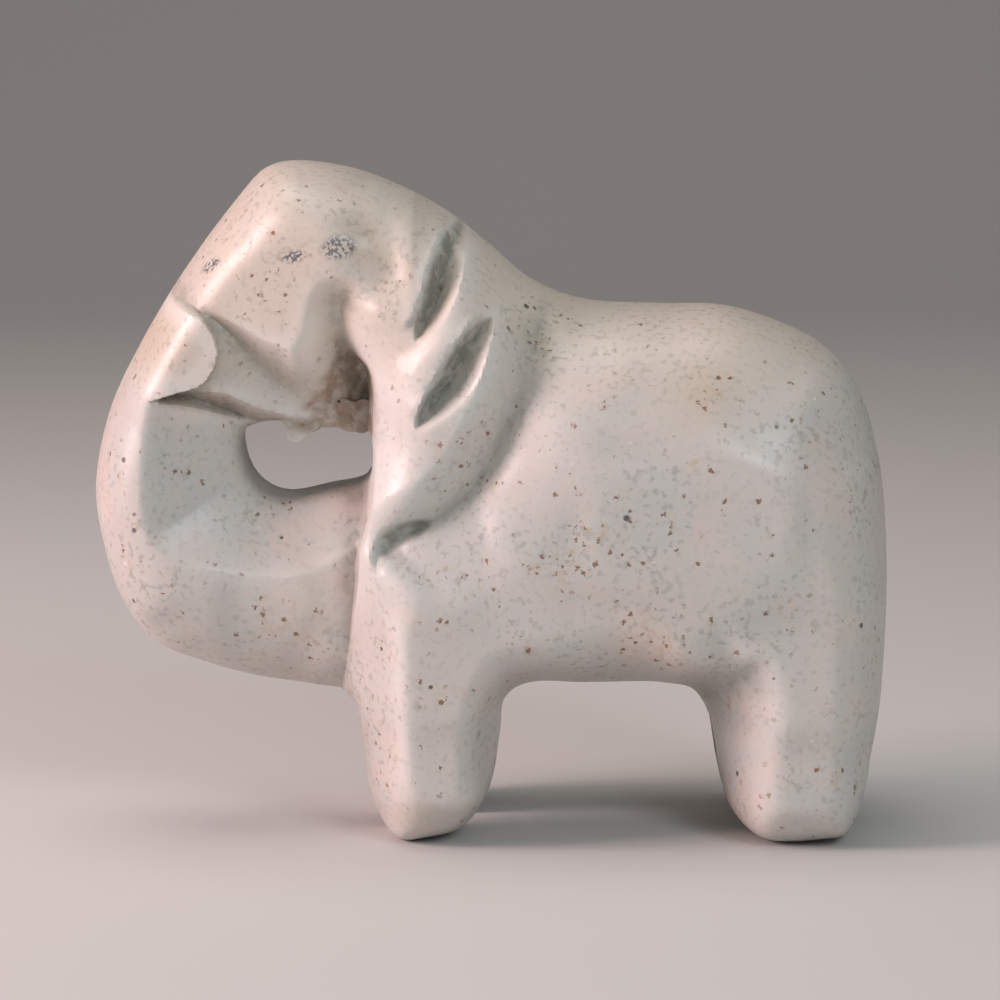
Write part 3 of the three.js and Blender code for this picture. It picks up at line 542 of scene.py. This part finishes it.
# %% Rough places of the side view
CRUMBS = [(-10.9, 35.5), (-9.8, 35.6), (-8.9, 34.9), (-8.3, 34.0), (-8.1, 31.5), (-8.3, 29.5),
          (-14.9, 29.9), (-13.9, 31.1), (-12.9, 32.3), (-12.1, 33.8), (-11.5, 34.7)]
SPLINTER = [(-15.3, 31.2), (-14.9, 29.8), (-14.7, 28.8), (-14.1, 28.6), (-13.5, 29.3),
            (-12.6, 29.6), (-12.0, 30.0), (-11.3, 30.2), (-10.5, 29.8), (-9.7, 29.5),
            (-8.9, 29.7), (-8.2, 30.0), (-8.2, 31.6), (-10.5, 31.9), (-13, 31.6)]
GOUGE = [(-8.4, 21.5), (-7.6, 23.0), (-6.0, 23.8), (-4.4, 23.7), (-5.0, 22.9), (-6.6, 22.2),
         (-7.6, 21.1), (-8.2, 20.1)]


def patch(points, x, z, softness):
    """1 inside a closed line, 0 outside, with a soft edge."""
    return ease(-softness, softness, depth_inside(smooth_line(points, True, 4), x, z))


def leaf_wall(line, x, z, width):
    """1 on the front wall of a leaf-shaped cut, fading out at its rim and at its line."""
    distance, along, side = nearest_on(line, x, z)
    on_wall = np.where(side > 0, ease(width, 0.5 * width, distance), ease(0.35, 0, distance))
    return on_wall * ease(0.02, 0.15, along) * ease(1, 0.9, along)


crumbs = patch(CRUMBS, flat_x, flat_z, 0.5)
gouge = patch(GOUGE, flat_x, flat_z, 0.35)
leaf_walls = np.maximum(leaf_wall(upper_leaf, flat_x, flat_z, 1.7),
                        leaf_wall(lower_leaf, flat_x, flat_z, 1.6))
splinter = depth_inside(smooth_line(SPLINTER, True, 3), flat_x, flat_z)
rough_maps = np.stack([crumbs, gouge, leaf_walls, splinter], axis=-1)


# %% The worn elephant
SPLINTER_MIDDLE = -2.7
SPLINTER_HALF = 1.5
MARK_REACH = 1.5
SWELL, RIPPLE, COARSE, GRIT = 5.0, 1.9, 1.25, 0.55


def worn_stone(x, y, z):
    """The formula of the elephant with its marks: waves of several sizes push the surface in
    and out, more where a place is rough, and the splinter is joined on."""
    base = stone(x, y, z)
    close = np.abs(base) < MARK_REACH
    where = [np.broadcast_to(c, base.shape)[close] for c in (x, y, z)]
    crumb, cut, wall, hanging = np.moveaxis(read_side(rough_maps, where[0], where[2]), -1, 0)
    fine, coarse = waves(*where, GRIT), waves(*where, COARSE)
    shape = base[close] + 0.05 * waves(*where, SWELL) + 0.02 * waves(*where, RIPPLE)
    shape = shape + crumb * (0.55 * np.abs(coarse) - 0.25 + 0.16 * fine)
    shape = shape + cut * (0.45 + 0.2 * coarse + 0.12 * fine)
    shape = shape + wall * (0.16 * coarse + 0.12 * fine)
    chip = np.maximum(-hanging, np.abs(where[1] - SPLINTER_MIDDLE) - SPLINTER_HALF)
    chip = chip + (0.28 * coarse + 0.14 * fine) * ease(-14.2, -12.8, where[0])
    worn = base.copy()
    worn[close] = soft_min(shape, chip, 0.2)
    return worn


print("marks ready")

# %% [markdown]
# ## A closed surface around the formula
# Marching cubes would blunt every edge of the knife. Dual contouring puts one point in each
# grid cell that the surface passes through, where the planes of its crossings meet, so edges
# stay sharp and flat faces stay flat.

# %% Planes of the grid
def planes(start, end, cell):
    """Positions from start to end, each a cell's size after the last."""
    places = [start]
    while places[-1] < end:
        places.append(places[-1] + cell(places[-1]))
    return np.array(places)


half_y = planes(0.25, 14.4, lambda y: 0.5 if y < 5.5 else 0.3)
GRID = (planes(-29.9, 30.3, lambda x: 0.27 if x < 5 else 0.42),
        np.concatenate([-half_y[::-1], half_y]),
        planes(-0.41, 50.0, lambda z: 0.27 if z > 18 else 0.38))
print("grid:", [len(g) for g in GRID])


# %% Dual contouring: lengths in mm, the rest as shares
SEARCH_ROUNDS = 7
SAMPLE_REACH = 0.04
PULL_TO_MIDDLE = 0.05
CELL_MARGIN = 0.03


def without_diagonals(value):
    """Where two corners of a cell's face are inside and the other two, across from each other,
    are outside, the surface there is ambiguous. The corner nearest to the surface changes
    sides, until no such face is left."""
    for _ in range(30):
        changed = 0
        for axis in range(3):
            v = np.moveaxis(value, axis, 0)
            face = np.stack([v[:, :-1, :-1], v[:, 1:, :-1], v[:, 1:, 1:], v[:, :-1, 1:]])
            sign = face < 0
            odd = (sign[0] == sign[2]) & (sign[1] == sign[3]) & (sign[0] != sign[1])
            at = np.argwhere(odd)
            if len(at):
                corner = np.abs(face[:, odd]).argmin(0)
                at[:, 1] += np.isin(corner, (1, 2))
                at[:, 2] += np.isin(corner, (2, 3))
                at = np.unique(at, axis=0)
                v[tuple(at.T)] = np.where(v[tuple(at.T)] < 0, 1e-3, -1e-3)
                changed += len(at)
        if not changed:
            break
    return value


def contour(field, grid):
    """Dual contouring: every grid edge with one end inside gets the place and the direction of
    the surface there; every cell gets the point that lies best on the planes of its edges, by
    least squares; and every such edge becomes a four-sided face between its four cells."""
    gx, gy, gz = grid
    counts = np.array([len(g) for g in grid])
    value = without_diagonals(field(*np.meshgrid(gx, gy, gz, indexing="ij")))
    starts, axes, places = [], [], []
    for axis in range(3):
        at = np.argwhere(np.diff((value < 0).astype(np.int8), axis=axis) != 0)
        step = np.eye(3, dtype=int)[axis]
        a, b = value[tuple(at.T)], value[tuple((at + step).T)]
        low = np.stack([g[i] for g, i in zip(grid, at.T)], 1)
        high = np.stack([g[i] for g, i in zip(grid, (at + step).T)], 1)
        lo, hi = np.zeros(len(at)), np.ones(len(at))
        t = a / (a - b)
        for _ in range(SEARCH_ROUNDS):
            v = field(*(low + t[:, None] * (high - low)).T)
            same = (v < 0) == (a < 0)
            lo, a = np.where(same, t, lo), np.where(same, v, a)
            hi, b = np.where(same, hi, t), np.where(same, b, v)
            t = lo + (hi - lo) * np.clip(a / (a - b + 1e-12), 0.08, 0.92)
        starts.append(at)
        axes.append(np.full(len(at), axis))
        places.append(low + t[:, None] * (high - low))
    start, axis, p = np.concatenate(starts), np.concatenate(axes), np.concatenate(places)
    tilt = SAMPLE_REACH * np.eye(3)
    normal = np.stack([field(*(p + d).T) - field(*(p - d).T) for d in tilt], 1)
    normal /= np.linalg.norm(normal, axis=1)[:, None] + 1e-12
    # the four cells around each edge, as single numbers
    unit = np.eye(3, dtype=int)
    u, v = unit[(axis + 1) % 3], unit[(axis + 2) % 3]
    around = np.stack([start, start - u, start - u - v, start - v], 1)
    number = (around[..., 0] * counts[1] + around[..., 1]) * counts[2] + around[..., 2]
    cells, cell = np.unique(number, return_inverse=True)
    cell = cell.reshape(number.shape)
    flat, edge_of = cell.ravel(), np.repeat(np.arange(len(p)), 4)

    def gather(weights):
        """Sum of a value over the crossings around every cell."""
        return np.bincount(flat, weights[edge_of], len(cells))

    share = np.bincount(flat, minlength=len(cells))
    centre = np.stack([gather(p[:, k]) for k in range(3)], 1) / share[:, None]
    matrix = np.zeros((len(cells), 3, 3))
    pull = np.zeros((len(cells), 3))
    off = (normal[edge_of] * (p[edge_of] - centre[flat])).sum(1)
    for r in range(3):
        pull[:, r] = np.bincount(flat, normal[edge_of, r] * off, len(cells))
        for c in range(3):
            matrix[:, r, c] = gather(normal[:, r] * normal[:, c])
        matrix[:, r, r] += PULL_TO_MIDDLE * share
    points = centre + np.linalg.solve(matrix, pull[..., None])[..., 0]
    ijk = np.stack([cells // (counts[1] * counts[2]), cells // counts[2] % counts[1], cells % counts[2]])
    low = np.stack([g[i] for g, i in zip(grid, ijk)], 1)
    high = np.stack([g[i + 1] for g, i in zip(grid, ijk)], 1)
    margin = CELL_MARGIN * (high - low)
    points = np.clip(points, low + margin, high - margin)
    quads = np.where((value[tuple(start.T)] < 0)[:, None], cell, cell[:, ::-1])
    return points, quads


points, quads = contour(worn_stone, GRID)
print("points:", len(points), "faces:", len(quads))
print("box:", points.min(0).round(3), points.max(0).round(3))

# %% The mesh
SHARP_ANGLE = math.radians(32)
low = np.array(cad_low) / MM
high = np.array(cad_high) / MM
points = np.clip(points, low, high)
mesh = bpy.data.meshes.new("elephant_stone")
mesh.from_pydata((points * MM).tolist(), [], quads.tolist())
mesh.update()
mesh.shade_smooth()
mesh.set_sharp_from_angle(angle=SHARP_ANGLE)
elephant = bpy.data.objects.new("elephant_stone", mesh)
bpy.context.scene.collection.objects.link(elephant)
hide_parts("elephant")
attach(elephant, "root")
print("closed:", len(quads) * 4 == 2 * len(mesh.edges), "edges:", len(mesh.edges))

# %% [markdown]
# ## Where the colour changes
# Colour follows the carving. Convex edges are laid pale, partly as rubbed polish and partly as a painted
# highlight.
# Concave corners and creases get painted shade. The underside of the lip is painted brown with its shade,
# and the hollow under the cheek is tinted cream with the tone of its shade. The cut walls are grey and the
# torn corner is brown.
# A shader can't know where those places are, so each point of the mesh gets a few masks, which the material
# reads as attributes.

# %% Hollows and edges of the side view
BLUR_REACH = 1.1
outer_relief = np.maximum(side_maps[..., 2], side_maps[..., 4])


def blurred(surface, reach):
    """Mean of a square around every place, twice, from differences of running sums."""
    cells = int(reach / FINE)
    for _ in range(2):
        for axis in (0, 1):
            wide = np.pad(surface, [(cells + 1, cells) if a == axis else (0, 0) for a in (0, 1)], "edge")
            sums = np.cumsum(wide, axis)
            ahead = np.take(sums, range(2 * cells + 1, sums.shape[axis]), axis)
            behind = np.take(sums, range(0, sums.shape[axis] - 2 * cells - 1), axis)
            surface = (ahead - behind) / (2 * cells + 1)
    return surface


raised = outer_relief - blurred(outer_relief, BLUR_REACH)
print("highest edge:", raised.max().round(2), "deepest corner:", raised.min().round(2))

# %% Places that differ in colour: x and height in mm, and their reach. The dark marks at the
# eye have a long and a short reach and a turn.
RUST_PLACES = [(7.5, 23.6, 1.5), (5.2, 20.9, 1.6), (15.2, 32.6, 0.9), (10.8, 16.3, 1.5), (12.6, 15.0, 1.3),
               (12.6, 24.0, 0.8), (-2.2, 29.4, 1.6), (-15.5, 16.2, 1.5), (24.2, 5.5, 0.7), (-9.2, 4.6, 0.6),
               (-9.0, 7.6, 0.7), (21.0, 16.8, 1.2), (-13.8, 34.4, 0.7), (3.4, 20.8, 0.9)]
EYE_PLACES = [(-10.8, 43.3, 1.45, 0.95, 0.25), (-20.1, 41.8, 0.95, 0.4, 0.75), (-14.0, 42.6, 1.1, 0.5, 0.2)]
BLUSH_PLACES = [(-8.9, 43.6, 1.8), (-20.3, 34.9, 1.0), (-5.8, 2.6, 1.6), (15.0, 33.0, 2.4),
                (-24.0, 36.0, 2.4)]
# The underside of the lip, where its shade is painted brown.
LIP_FACET = [(-24.3, 32.1), (-22.4, 32.7), (-20.0, 32.9), (-17.6, 32.1), (-15.2, 31.3), (-15.2, 30.2),
             (-18.6, 30.6), (-21.0, 31.2)]


def round_marks(places, x, z):
    """The largest of a set of bells: 1 in the middle of a place, falling with the square of
    the distance."""
    return np.max([np.exp(-((x - px) ** 2 + (z - pz) ** 2) / reach ** 2) for px, pz, reach in places], 0)


def tilted_marks(places, x, z):
    """As round marks, but long and turned: each has two reaches and an angle."""
    marks = []
    for px, pz, long, short, turn in places:
        u = (x - px) * math.cos(turn) + (z - pz) * math.sin(turn)
        v = (z - pz) * math.cos(turn) - (x - px) * math.sin(turn)
        marks.append(np.exp(-(u / long) ** 2 - (v / short) ** 2))
    return np.max(marks, 0)


# The hollow under the cheek, where the warm cream tone of its shade is painted.
under_cheek = ease(0.0, 1.2, depth_inside(hollow, flat_x, flat_z)) * ease(30, 32, flat_z)
flank_masks = {
    # edge: convex places, laid pale, partly as rubbed polish and partly as a painted highlight
    "edge": np.clip(raised / 0.35, 0, 1),
    # corner: concave places, darkened as painted shade
    "corner": np.clip(-raised / 0.45, 0, 1),
    "torn": crumbs,
    "cut": np.maximum(leaf_walls, gouge),
    # lip: the underside of the lip, where shade is painted
    "lip": patch(LIP_FACET, flat_x, flat_z, 0.2),
    "rust": round_marks(RUST_PLACES, flat_x, flat_z),
    "eye": tilted_marks(EYE_PLACES, flat_x, flat_z),
    "blush": round_marks(BLUSH_PLACES, flat_x, flat_z),
    # mouth: the hollow under the cheek, tinted cream as painted shade
    "mouth": under_cheek * ease(-9, -11, flat_x)}
print("masks:", ", ".join(flank_masks))

# %% The masks on the mesh
near_flank = ease(2, -2, points[:, 1])
for name, mask in flank_masks.items():
    values = read_side(mask[..., None], points[:, 0], points[:, 2])[:, 0]
    if name in ("rust", "blush"):
        values = values * near_flank
    layer = mesh.attributes.new(name, "FLOAT", "POINT")
    layer.data.foreach_set("value", values.astype(np.float32))
print("attributes:", len(mesh.attributes))

# %% [markdown]
# ## Stone
# Soapstone is a soft talc rock. Rubbed with wax it shines dully, and its pale ground carries
# clouds of grey and cream, rusty specks in small swarms, fewer black ones and lighter flecks.
# A flat picture would show one side of one stone. Nodes on Object coordinates run through the
# block as the real colours do, so the specks also match around every corner.

# %% Helpers that place nodes
def plug(tree, value, socket):
    """Link a socket to a socket, or set it to a plain value."""
    if isinstance(value, bpy.types.NodeSocket):
        tree.links.new(value, socket)
    else:
        socket.default_value = value


def add(tree, kind, settings=None, **inputs):
    """Add a node, set its properties, and plug its inputs, where _ stands for a space."""
    made = tree.nodes.new(kind)
    for name, value in (settings or {}).items():
        setattr(made, name, value)
    for name, value in inputs.items():
        plug(tree, value, made.inputs[name.replace("_", " ")])
    return made


def maths(tree, operation, a, b=0.0, clamp=False):
    """One sum: a and b are sockets or numbers."""
    made = add(tree, "ShaderNodeMath", {"operation": operation, "use_clamp": clamp})
    plug(tree, a, made.inputs[0])
    plug(tree, b, made.inputs[1])
    return made.outputs[0]


def step(tree, value, low, high):
    """0 at low and 1 at high, with a smooth step between."""
    made = add(tree, "ShaderNodeMapRange", {"interpolation_type": "SMOOTHSTEP"},
               Value=value, From_Min=low, From_Max=high)
    return made.outputs["Result"]


def blend(tree, share, under, over):
    """Colour over colour, by a share."""
    made = add(tree, "ShaderNodeMix", {"data_type": "RGBA"}, Factor=share)
    plug(tree, under, made.inputs[6])
    plug(tree, over, made.inputs[7])
    return made.outputs[2]


def tint(tree, ground, mask, strength, colour):
    """Lay a colour over the ground, by a mask times a strength."""
    return blend(tree, maths(tree, "MULTIPLY", mask, strength), ground, colour)


def thinned(tree, mask, pattern, gain, least):
    """A mask times a pattern that is first multiplied by a gain and raised by a least value."""
    raised_pattern = maths(tree, "ADD", maths(tree, "MULTIPLY", pattern, gain), least)
    return maths(tree, "MULTIPLY", mask, raised_pattern)


def new_group(name, inputs, outputs):
    """A node group with named sockets: inputs have a kind and a value, outputs a kind."""
    group = bpy.data.node_groups.new(name, "ShaderNodeTree")
    for label, kind, value in inputs:
        socket = group.interface.new_socket(label, in_out="INPUT", socket_type=kind)
        if value is not None:
            socket.default_value = value
    for label, kind in outputs:
        group.interface.new_socket(label, in_out="OUTPUT", socket_type=kind)
    return group, group.nodes.new("NodeGroupInput").outputs, group.nodes.new("NodeGroupOutput").inputs


def use(tree, group, **inputs):
    """Place a group in a material and plug its inputs; returns its first output."""
    made = add(tree, "ShaderNodeGroup", {"node_tree": group}, **inputs)
    return made.outputs[0]


print("node helpers ready")

# %% Group: specks
FLOAT, VECTOR = "NodeSocketFloat", "NodeSocketVector"
specks, given, result = new_group(
    "specks", [("Place", VECTOR, None), ("Spacing", FLOAT, 1.0), ("Radius", FLOAT, 0.2),
               ("Share", FLOAT, 0.3), ("Rag", FLOAT, 0.1)], [("Mask", FLOAT)])
ragged = add(specks, "ShaderNodeTexNoise", {"noise_dimensions": "3D"},
             Vector=given["Place"], Scale=5.0, Detail=1.0)
shift = add(specks, "ShaderNodeVectorMath", {"operation": "SCALE"}, Vector=ragged.outputs["Color"])
plug(specks, given["Rag"], shift.inputs["Scale"])
moved = add(specks, "ShaderNodeVectorMath", {"operation": "ADD"})
plug(specks, given["Place"], moved.inputs[0])
plug(specks, shift.outputs[0], moved.inputs[1])
cell_scale = maths(specks, "DIVIDE", 1.0, given["Spacing"])
cells = add(specks, "ShaderNodeTexVoronoi", {"feature": "F1"}, Vector=moved.outputs[0], Scale=cell_scale)
chance = add(specks, "ShaderNodeSeparateColor", Color=cells.outputs["Color"])
radius = maths(specks, "MULTIPLY", given["Radius"], maths(specks, "ADD", chance.outputs["Green"], 0.45))
core = maths(specks, "MULTIPLY", radius, 0.55)
dot = step(specks, cells.outputs["Distance"], radius, core)
chosen = maths(specks, "LESS_THAN", chance.outputs["Red"], given["Share"])
plug(specks, maths(specks, "MULTIPLY", dot, chosen), result["Mask"])
print("group:", specks.name)

# %% Group: clouds
clouds, given, result = new_group(
    "clouds", [("Place", VECTOR, None), ("Size", FLOAT, 5.0), ("Detail", FLOAT, 3.0),
               ("Low", FLOAT, 0.45), ("High", FLOAT, 0.65)], [("Mask", FLOAT)])
cloud_scale = maths(clouds, "DIVIDE", 1.0, given["Size"])
drift = add(clouds, "ShaderNodeTexNoise", {"noise_dimensions": "3D"},
            Vector=given["Place"], Scale=cloud_scale)
plug(clouds, given["Detail"], drift.inputs["Detail"])
plug(clouds, step(clouds, drift.outputs["Fac"], given["Low"], given["High"]), result["Mask"])
print("group:", clouds.name)

# %% Stone: place and masks
stone_material = bpy.data.materials.new("soapstone")
stone_material.use_nodes = True
tree = stone_material.node_tree
shader = tree.nodes["Principled BSDF"]
coordinates = add(tree, "ShaderNodeTexCoord")
scaled = add(tree, "ShaderNodeVectorMath", {"operation": "SCALE"}, Vector=coordinates.outputs["Object"])
scaled.inputs["Scale"].default_value = 1 / MM
place = scaled.outputs[0]
masks = {name: add(tree, "ShaderNodeAttribute", {"attribute_name": name}).outputs["Fac"]
         for name in flank_masks}
height = add(tree, "ShaderNodeSeparateXYZ", Vector=place).outputs["Z"]

# %% Stone: ground colour
GREY = (0.590, 0.550, 0.515, 1)
CREAM = (0.640, 0.555, 0.470, 1)
COOL = (0.545, 0.540, 0.515, 1)
PINK = (0.640, 0.555, 0.510, 1)
BROWN = (0.300, 0.205, 0.140, 1)
# painted shade on the underside of the lip
LIP_UNDERSIDE_SHADE = (0.360, 0.285, 0.230, 1)
CUT_GREY = (0.225, 0.235, 0.205, 1)
# grey-green of the flecks, and of the shade painted into concave corners and creases
FLECK_AND_SHADE_GREY = (0.240, 0.235, 0.195, 1)
RUST = (0.200, 0.085, 0.030, 1)
OCHRE = (0.500, 0.350, 0.180, 1)
BLACK = (0.030, 0.026, 0.024, 1)
SLATE = (0.085, 0.095, 0.130, 1)
# pale flecks, and the painted highlight on convex edges
PALE = (0.800, 0.780, 0.740, 1)
ground = blend(tree, use(tree, clouds, Place=place, Size=11.0, Low=0.40, High=0.62), GREY, COOL)
ground = blend(tree, use(tree, clouds, Place=place, Size=7.0, Low=0.50, High=0.70), ground, PINK)
ground = tint(tree, ground, step(tree, height, 30.0, 38.5), 0.75, CREAM)
fine_cloud = use(tree, clouds, Place=place, Size=1.3, Low=0.48, High=0.68)
ground = tint(tree, ground, fine_cloud, 0.30, CREAM)
ground = tint(tree, ground, masks["blush"], 0.28, OCHRE)
print("ground colours laid")

# %% Stone: flecks and specks
flaky = use(tree, clouds, Place=place, Size=5.5, Low=0.38, High=0.62)
flecks = use(tree, clouds, Place=place, Size=0.50, Detail=3.0, Low=0.52, High=0.68)
ground = blend(tree, thinned(tree, flecks, flaky, 0.30, 0.14), ground, FLECK_AND_SHADE_GREY)
pale_specks = use(tree, specks, Place=place, Spacing=1.9, Radius=0.09, Share=0.25, Rag=0.25)
ground = tint(tree, ground, pale_specks, 0.6, PALE)
swarm = maths(tree, "MAXIMUM", masks["rust"], use(tree, clouds, Place=place, Size=3.2, Low=0.60, High=0.74))
halo = maths(tree, "MULTIPLY", swarm, use(tree, clouds, Place=place, Size=0.7, Low=0.45, High=0.65))
ground = tint(tree, ground, halo, 0.40, OCHRE)
rust_share = maths(tree, "ADD", maths(tree, "MULTIPLY", swarm, 0.55), 0.03)
rust = use(tree, specks, Place=place, Spacing=0.48, Radius=0.38, Share=rust_share, Rag=0.50)
ground = tint(tree, ground, rust, 0.88, RUST)
dust_share = maths(tree, "ADD", maths(tree, "MULTIPLY", flaky, 0.22), 0.06)
brown_dust = use(tree, specks, Place=place, Spacing=0.6, Radius=0.26, Share=dust_share, Rag=0.5)
ground = tint(tree, ground, brown_dust, 0.60, BROWN)
black_dots = use(tree, specks, Place=place, Spacing=2.2, Radius=0.10, Share=0.50, Rag=0.05)
ground = tint(tree, ground, black_dots, 0.85, BLACK)
eye_grain = use(tree, clouds, Place=place, Size=0.24, Detail=1.0, Low=0.42, High=0.54)
eye = maths(tree, "MULTIPLY", step(tree, masks["eye"], 0.25, 0.75), eye_grain)
ground = tint(tree, ground, eye, 0.88, SLATE)
print("specks laid")

# %% Stone: painted shade in corners, under the lip and in the mouth hollow, cuts, and pale edges that are partly a painted highlight
streaks = add(tree, "ShaderNodeMapping", Vector=place, Scale=(1.0, 1.0, 0.18))
streaky = use(tree, clouds, Place=streaks.outputs[0], Size=0.5, Detail=3.0, Low=0.35, High=0.65)
# Painted shade tone: the hollow under the cheek is tinted cream.
ground = tint(tree, ground, masks["mouth"], 0.35, CREAM)
# Painted shade on the downward-facing underside of the lip, brown, with streaks.
ground = blend(tree, thinned(tree, masks["lip"], streaky, 0.40, 0.35), ground, LIP_UNDERSIDE_SHADE)
patchy = use(tree, clouds, Place=place, Size=1.1, Detail=4.0, Low=0.34, High=0.62)
ground = blend(tree, thinned(tree, masks["cut"], patchy, 0.55, 0.35), ground, CUT_GREY)
ground = blend(tree, thinned(tree, masks["torn"], patchy, 0.60, 0.30), ground, BROWN)
# Painted shade: concave corners and creases are darkened grey-green, in patches.
ground = blend(tree, thinned(tree, masks["corner"], patchy, 0.25, 0.22), ground, FLECK_AND_SHADE_GREY)
# Convex edges laid pale: partly rubbed polish, partly a painted highlight.
ground = tint(tree, ground, masks["edge"], 0.45, PALE)
plug(tree, ground, shader.inputs["Base Color"])
print("painted shade and edges laid")

# %% Stone: shine and fine relief
LEAST_ROUGHNESS = 0.36
COAT_WEIGHT = 0.18
COAT_ROUGHNESS = 0.22
STONE_IOR = 1.5
RELIEF_DEPTH = 0.035 * MM
rough_places = maths(tree, "MAXIMUM", masks["torn"], masks["cut"])
matt = maths(tree, "MULTIPLY", rough_places, 0.40)
worn = use(tree, clouds, Place=place, Size=3.0, Low=0.3, High=0.7)
roughness = maths(tree, "ADD", maths(tree, "MULTIPLY", worn, 0.12), LEAST_ROUGHNESS)
plug(tree, maths(tree, "ADD", roughness, matt, clamp=True), shader.inputs["Roughness"])
shader.inputs["Coat Weight"].default_value = COAT_WEIGHT
shader.inputs["Coat Roughness"].default_value = COAT_ROUGHNESS
shader.inputs["IOR"].default_value = STONE_IOR
grain = add(tree, "ShaderNodeTexNoise", Vector=place, Scale=5.0, Detail=4.0, Roughness=0.6)
rasp = add(tree, "ShaderNodeTexNoise", Vector=streaks.outputs[0], Scale=3.0, Detail=2.0)
relief = maths(tree, "ADD", maths(tree, "MULTIPLY", grain.outputs["Fac"], 0.35),
               maths(tree, "MULTIPLY", rasp.outputs["Fac"], 0.30))
pits = maths(tree, "ADD", black_dots, maths(tree, "MULTIPLY", rust, 0.35))
relief = maths(tree, "SUBTRACT", relief, pits)
coarse_grain = maths(tree, "MULTIPLY", patchy, maths(tree, "MULTIPLY", rough_places, 3.0))
relief = maths(tree, "ADD", relief, coarse_grain)
bump = add(tree, "ShaderNodeBump", Strength=1.0, Distance=RELIEF_DEPTH, Height=relief)
plug(tree, bump.outputs["Normal"], shader.inputs["Normal"])
mesh.materials.append(stone_material)
print("stone nodes:", len(tree.nodes))

# %% [markdown]
# ## Bounds
# The box of the finished piece is taken, as the box of the frame was at the start.

# %% Box of the finished piece
low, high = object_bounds()
